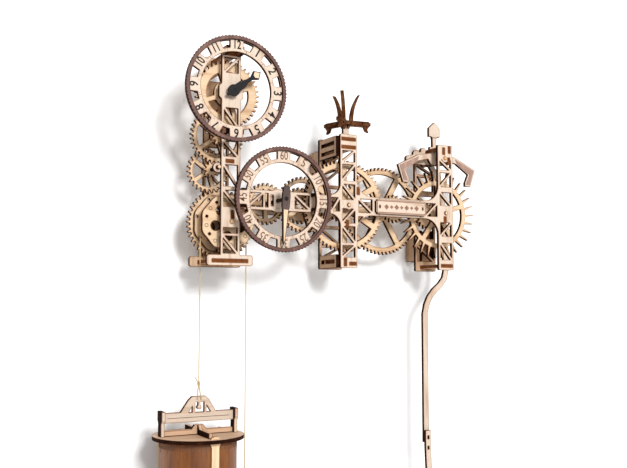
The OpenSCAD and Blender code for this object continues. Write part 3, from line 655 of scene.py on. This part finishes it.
class CLOCK_OT_plate(bpy.types.Operator):
    """Engraves a plain border and a row of lozenges on the name plate, with its two keys."""

    bl_idname = "clock.plate"
    bl_label = "Engrave the name plate"

    def execute(self, context):
        low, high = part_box("name_plate")
        scorch = engraving("plate_engraving", "#7a5a52")
        line = 1.0 * MM
        margin = 1.0 * MM
        x0, x1, z0, z1 = low.x + margin, high.x - margin, low.z + margin, high.z - margin
        marks = [box_outline(x0, z0, x1, z0 + line), box_outline(x0, z1 - line, x1, z1),
                 box_outline(x0, z0 + line, x0 + line, z1 - line),
                 box_outline(x1 - line, z0 + line, x1, z1 - line)]
        middle = (low.z + high.z) / 2
        lozenges = 7
        for k in range(lozenges):
            x = low.x + (high.x - low.x) * (k + 2) / (lozenges + 3)
            half = 2.2 * MM if k % 2 else 3.1 * MM
            marks.append([(x - half, middle), (x, middle - half), (x + half, middle), (x, middle + half)])
        slabs("plate_border", marks, low.y - 0.12 * MM, 0.24 * MM, scorch, "cage")
        key = plywood("key_ply", thin="z", grain="y", face="#7a4a28", dark="#5c3418")
        keys = [box_outline(x - 0.7 * MM, middle - 1.5 * MM, x + 0.7 * MM, middle + 1.5 * MM)
                for x in (low.x + 4.8 * MM, high.x - 4.8 * MM)]
        slabs("plate_keys", keys, low.y + 0.1 * MM, 3.4 * MM, key, "cage")
        return {"FINISHED"}


class CLOCK_OT_anchor_inlays(bpy.types.Operator):
    """Lays the stained bands on the anchor's arms and the pale blades on the hands."""

    bl_idname = "clock.inlays"
    bl_label = "Lay the inlays"

    def execute(self, context):
        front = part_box("anchor")[0].y
        x, z = (centre("pallet_arbor").x, centre("pallet_arbor").z)
        arm = np.array([(24.5, 4.4), (54.0, -8.9), (48.0, -27.6), (41.6, -27.6), (41.6, -25.2),
                        (46.4, -14.6), (28.0, -3.2)]) * MM
        arm = inset(arm, 0.8 * MM)
        bands = [arm + (x, z), arm * (-1, 1) + (x, z)]
        stain = stained_plywood("mauve_inlay", "#98796c", "#b09184", scorch=0.0)
        slabs("anchor_bands", bands, front - 0.6 * MM, 0.7 * MM, stain, "pendulum")
        tip = np.array([(28.0, -1.4), (31.0, -3.9), (35.6, 0), (31.0, 3.9), (28.0, 1.4)]) * MM
        blade = np.array([(11.5, -2.5), (11.5, 2.5), (43, 0.6), (45.5, 0), (43, -0.6)]) * MM
        pale = plywood("hand_inlay", face="#dcc0a0", dark="#c4a27c", scorch=0.0)
        for hand, shape, about in (("hour", tip, HOUR), ("minute", blade, MINUTE)):
            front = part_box(hand + "_hand")[0].y
            outline = turned(shape, np.radians(HAND_ANGLES[hand]), (about.x, about.z))
            slabs(hand + "_hand_inlay", [outline], front - 0.4 * MM, 0.6 * MM, pale, hand)
        return {"FINISHED"}


class CLOCK_OT_grooves(bpy.types.Operator):
    """Engraves the groove of the bail's bar and the small circles of the drum's front flange."""

    bl_idname = "clock.grooves"
    bl_label = "Engrave the grooves"

    def execute(self, context):
        scorch = engraving("groove_engraving", "#2c160c", "#4e2e1c")
        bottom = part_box("weight_bail")[0].z
        middle = centre("weight_canister").x
        half = 33 * MM
        groove = box_outline(middle - half, bottom + 17.4 * MM, middle + half, bottom + 17.9 * MM)
        plate_front = centre("weight_cord").y - SHEET / 2
        slabs("bail_groove", [groove], plate_front - 0.1 * MM, 0.2 * MM, scorch, "weight")

        # circles: rings half a millimetre wide, midway between the square holes
        circles, sides = 8, 24
        axle = centre("great_arbor")
        turn = np.linspace(0, 2 * np.pi, sides, endpoint=False)
        hub = np.radians(32 + 22.5 + 45 * np.arange(circles))[:, None, None]
        out = 23.8 * MM
        reach = np.array([1.5, 2.0])[None, :, None] * MM
        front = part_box("drum_flanges")[0].y - 0.06 * MM
        x = axle.x + out * np.cos(hub) + reach * np.cos(turn)
        z = axle.z + out * np.sin(hub) + reach * np.sin(turn)
        rings = np.stack([x, np.full(x.shape, front), z], -1).reshape(-1, 3)
        quads = grid_faces(2, sides, wrap_cols=True)
        faces = (quads[None] + 2 * sides * np.arange(circles)[:, None, None]).reshape(-1, 4)
        obj = piece("drum_circles", rings, faces, scorch, "drum")
        solid = obj.modifiers.new("depth", "SOLIDIFY")
        solid.thickness, solid.offset = 0.12 * MM, 0.0
        return {"FINISHED"}


class CLOCK_OT_canister(bpy.types.Operator):
    """Bends the canister's wall, with its kerfs, upright staves and foot disc."""

    bl_idname = "clock.canister"
    bl_label = "Bend the canister"

    def execute(self, context):
        radius = 39.0 * MM
        foot = CAN_LOW.z + SHEET
        head = CAN_HIGH.z
        about = np.array([WEIGHT.x, WEIGHT.y])
        # wall: the radius swells by a fifth of a millimetre in the middle of each bent strip
        sides, rows = 192, 40
        a, h = np.meshgrid(np.linspace(0, 2 * np.pi, sides, endpoint=False), np.linspace(0, 1, rows))
        strips = 48
        r = radius + 0.2 * MM * np.abs(np.sin(a * strips / 2))
        wall = np.stack([about[0] + r * np.cos(a), about[1] + r * np.sin(a), foot + (head - foot) * h], -1)
        faces = grid_faces(rows, sides, wrap_cols=True)
        brown = bent_plywood("oiled_bent_ply")
        obj = piece("canister_wall", wall.reshape(-1, 3), faces, brown, "weight")
        obj.data.polygons.foreach_set("use_smooth", [True] * len(obj.data.polygons))
        close_ends(obj.data)
        outwards(obj.data)
        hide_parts("weight_canister")

        # kerfs: short upright cuts below the lid and above the foot, dark and thin
        cut = engraving("kerf_burn", "#3a1c0c")
        boxes = []
        count = 126
        for k in range(count):
            angle = 2 * np.pi * k / count
            tall = (11.5 if k % 7 == 0 else 7.5) * MM
            boxes.append((angle, 0.3 * MM, head - tall, head - 0.5 * MM))
            boxes.append((angle, 0.3 * MM, foot + 0.5 * MM, foot + tall))
        upright_bars("canister_kerfs", boxes, radius - 0.2 * MM, 0.55 * MM, about, cut)

        pale = plywood("stave_ply", thin="y", grain="z", face="#dfc3a0", dark="#c7a279", scorch=0.0)
        front = np.radians(-90 + 5)
        staves = []
        for k in range(3):
            # each stave flares at both ends, and its tenon comes through the lid as a low round button
            angle = front + k * 2 * np.pi / 3
            staves += [(angle, 4.0 * MM, foot, head - 4 * MM),
                       (angle, 4.4 * MM, head - 4 * MM, head - 2.2 * MM),
                       (angle, 5.4 * MM, head - 2.2 * MM, head), (angle, 5.4 * MM, foot, foot + 3 * MM),
                       (angle, 4.8 * MM, head + SHEET, head + SHEET + 1.0 * MM),
                       (angle, 3.8 * MM, head + SHEET + 1.0 * MM, head + SHEET + 1.9 * MM),
                       (angle, 2.2 * MM, head + SHEET + 1.9 * MM, head + SHEET + 2.5 * MM)]
        upright_bars("canister_staves", staves, radius - 0.5 * MM, 2.2 * MM, about, pale)

        # foot disc: a shallow turned profile carried round the axis
        profile = np.array([(0.0, -3.7), (39.6, -3.7), (40.4, -3.2), (40.4, -0.4), (39.6, 0.0),
                            (0.0, 0.0)]) * MM
        turn = np.linspace(0, 2 * np.pi, 96, endpoint=False)
        ring = np.stack([about[0] + profile[:, 0:1] * np.cos(turn),
                         about[1] + profile[:, 0:1] * np.sin(turn),
                         foot + profile[:, 1:2] + 0 * turn], -1)
        disc = piece("canister_foot", ring.reshape(-1, 3), grid_faces(len(profile), 96, wrap_cols=True),
                     plywood("foot_ply", thin="z", grain="x", face="#c9a57a", dark="#a98256"),
                     "weight")
        merge_poles(disc.data)
        outwards(disc.data)
        return {"FINISHED"}


def close_ends(mesh):
    """Fills the open rims of a tube."""
    work = bmesh.new()
    work.from_mesh(mesh)
    bmesh.ops.holes_fill(work, edges=[e for e in work.edges if e.is_boundary])
    work.to_mesh(mesh)
    work.free()


def merge_poles(mesh):
    """Joins the points that meet on the axis."""
    work = bmesh.new()
    work.from_mesh(mesh)
    bmesh.ops.remove_doubles(work, verts=work.verts, dist=0.01 * MM)
    work.to_mesh(mesh)
    work.free()


def upright_bars(name, bars, radius, proud, about, material):
    """Upright bars that stand proud of a round wall; each is (angle, half width, foot, head)."""
    angle, half, foot, head = np.array(bars, float).T[:, :, None]
    out = np.stack([np.cos(angle), np.sin(angle)], -1)
    side = np.stack([-np.sin(angle), np.cos(angle)], -1)
    reach = np.array([radius, radius, radius + proud, radius + proud] * 2)[None, :, None]
    across = np.array([-1, 1, 1, -1] * 2)[None, :] * half
    flat = about + out * reach + side * across[:, :, None]
    rise = np.concatenate([np.repeat(foot, 4, 1), np.repeat(head, 4, 1)], 1)
    points = np.concatenate([flat, rise[:, :, None]], -1).reshape(-1, 3)
    six = np.array([(0, 1, 2, 3), (4, 7, 6, 5), (0, 4, 5, 1), (1, 5, 6, 2), (2, 6, 7, 3), (3, 7, 4, 0)])
    faces = (six[None] + 8 * np.arange(len(bars))[:, None, None]).reshape(-1, 4)
    return piece_from_lists(name, points, faces.tolist(), material, "weight")


class CLOCK_OT_stage(bpy.types.Operator):
    """Sets the white wall and floor, the soft studio lights and the camera."""

    bl_idname = "clock.stage"
    bl_label = "Set the stage"

    def execute(self, context):
        settings = context.scene.clock_lights
        # backdrop: wall, a quarter-round cove and the floor, as one profile drawn along X
        cove, floor, reach = 0.25, -0.95, 3.0
        wall_y, wall_top, floor_front = 0.002, 2.2, -3.2
        bend = np.linspace(0, np.pi / 2, 13)
        curve = np.column_stack([wall_y - cove + cove * np.cos(bend), floor + cove - cove * np.sin(bend)])
        line = np.concatenate([[(wall_y, wall_top)], curve, [(floor_front, floor)]])
        across = np.array([-reach, reach])
        grid = np.stack([np.repeat(across[None], len(line), 0), np.repeat(line[:, :1], 2, 1),
                         np.repeat(line[:, 1:], 2, 1)], -1)
        mesh = bpy.data.meshes.new("backdrop")
        mesh.from_pydata(grid.reshape(-1, 3).tolist(), [], grid_faces(len(line), 2)[:, ::-1].tolist())
        mesh.materials.append(painted_wall("white_wall_paint"))
        mesh.polygons.foreach_set("use_smooth", [True] * len(mesh.polygons))
        wall = bpy.data.objects.new("backdrop", mesh)
        context.scene.collection.objects.link(wall)

        def light(name, place, target, size, power):
            lamp = bpy.data.lights.new(name, "AREA")
            lamp.shape, lamp.size, lamp.energy = "DISK", size, power
            obj = bpy.data.objects.new(name, lamp)
            obj.location = place
            obj.rotation_euler = (Vector(target) - Vector(place)).to_track_quat("-Z", "Y").to_euler()
            context.scene.collection.objects.link(obj)

        light("key_light", (-0.12, -1.75, 0.5), (0, 0, -0.05), 0.5, settings.key_power)
        light("fill_light", (1.5, -1.3, 0.6), (0, 0, -0.1), 1.4, settings.fill_power)
        world = bpy.data.worlds.new("studio")
        world.use_nodes = True
        world.node_tree.nodes["Background"].inputs["Color"].default_value = shade("#ffffff")
        world.node_tree.nodes["Background"].inputs["Strength"].default_value = settings.sky
        context.scene.world = world
        context.scene.view_settings.view_transform = "Standard"

        eye = bpy.data.cameras.new("camera")
        eye.lens, eye.sensor_width = 49.67, 36.0
        camera = bpy.data.objects.new("camera", eye)
        camera.location = Vector((-466.0, -901.2, -164.2)) * MM
        camera.rotation_euler = (np.radians(90 + 4.6), 0, np.radians(-27.1))
        context.scene.collection.objects.link(camera)
        context.scene.camera = camera
        return {"FINISHED"}


class CLOCK_PT_panel(bpy.types.Panel):
    """Lists the steps that dress the clock."""

    bl_idname = "CLOCK_PT_panel"
    bl_label = "Plywood Wall Clock"
    bl_space_type = "VIEW_3D"
    bl_region_type = "UI"
    bl_category = "Clock"

    def draw(self, context):
        column = self.layout.column()
        for operator in OPERATORS:
            column.operator(operator.bl_idname)
        for group in ("clock_dials", "clock_cords", "clock_lights"):
            settings = getattr(context.scene, group)
            for name in settings.bl_rna.properties.keys():
                if name not in ("rna_type", "name"):
                    column.prop(settings, name)


GROUPS = {"clock_dials": ClockDialSettings, "clock_cords": ClockCordSettings,
          "clock_lights": ClockLightSettings}
OPERATORS = (CLOCK_OT_stage, CLOCK_OT_cords, CLOCK_OT_finishes, CLOCK_OT_dials, CLOCK_OT_plate,
             CLOCK_OT_anchor_inlays, CLOCK_OT_grooves, CLOCK_OT_canister)


def register():
    """Registers the settings, the operators and the panel."""
    for name, group in GROUPS.items():
        bpy.utils.register_class(group)
        setattr(bpy.types.Scene, name, bpy.props.PointerProperty(type=group))
    for cls in (*OPERATORS, CLOCK_PT_panel):
        bpy.utils.register_class(cls)


def unregister():
    """Removes what register added."""
    for cls in (CLOCK_PT_panel, *reversed(OPERATORS)):
        bpy.utils.unregister_class(cls)
    for name, group in GROUPS.items():
        delattr(bpy.types.Scene, name)
        bpy.utils.unregister_class(group)


def main():
    """Dresses the clock, one operator after another."""
    register()
    for operator in OPERATORS:
        group, name = operator.bl_idname.split(".")
        getattr(getattr(bpy.ops, group), name)()
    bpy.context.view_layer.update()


if __name__ == "__main__":
    main()
